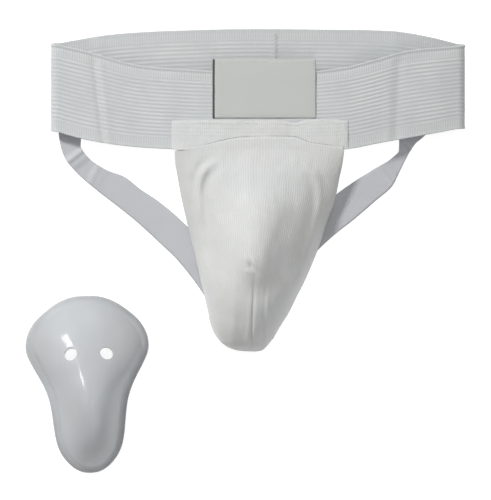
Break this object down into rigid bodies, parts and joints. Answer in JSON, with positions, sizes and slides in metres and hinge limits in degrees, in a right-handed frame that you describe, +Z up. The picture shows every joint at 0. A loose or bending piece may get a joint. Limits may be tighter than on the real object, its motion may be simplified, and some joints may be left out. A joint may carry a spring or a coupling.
{
  "type": "groin protector",
  "caption": "Groin protector: an elastic waistband supporter with a ribbed cotton pouch, elastic leg straps and a removable vented hard cup.",
  "frame": {"origin": "centre of the bounding box in plan, on the flat surface that the supporter lies on", "axes": "+Z up from that surface, out of the pouch's front; +Y from the pouch's tip to the waistband; +X to the right of a viewer looking at the front"},
  "size_m": [0.381, 0.3853, 0.0561],
  "materials": {
    "elastic": "horizontally ribbed knitted elastic",
    "cotton": "fine vertical rib knit",
    "strap_elastic": "smooth woven elastic",
    "label": "plain woven patch",
    "thread": "sewing thread",
    "cup_plastic": "glossy translucent moulding"
  },
  "bodies": {
    "supporter": {"waistband": "elastic", "waistband_join_stitching": "thread", "label_patch": "label", "label_stitching": "thread", "pouch_yoke": "cotton", "yoke_top_stitching": "thread", "yoke_arch_stitching": "thread", "pouch_front": "cotton", "pouch_dart_seam": "thread", "pouch_liner": "cotton", "pocket_mouth_binding": "cotton", "pouch_binding_left": "cotton", "pouch_binding_right": "cotton", "leg_strap_left": "strap_elastic", "leg_strap_right": "strap_elastic", "band_tack_left": "thread", "band_tack_right": "thread", "tip_tack_left": "thread", "tip_tack_right": "thread"},
    "cup_body": {"cup": "cup_plastic"},
    "bare_cup_body": {"bare_cup": "cup_plastic"}
  },
  "joints": [
    {"name": "cup_slide", "type": "slide", "parent": "supporter", "child": "cup_body", "axis": [0.0611, 0.9981, 0], "range_m": [0, 0.22], "deforming": ["pouch_front", "pouch_dart_seam", "pouch_yoke", "yoke_top_stitching", "yoke_arch_stitching", "waistband", "label_patch", "label_stitching"]},
    {"name": "bare_cup_lift", "type": "slide", "parent": "supporter", "child": "bare_cup_body", "axis": [0, 0, 1], "range_m": [0, 0.12]}
  ]
}
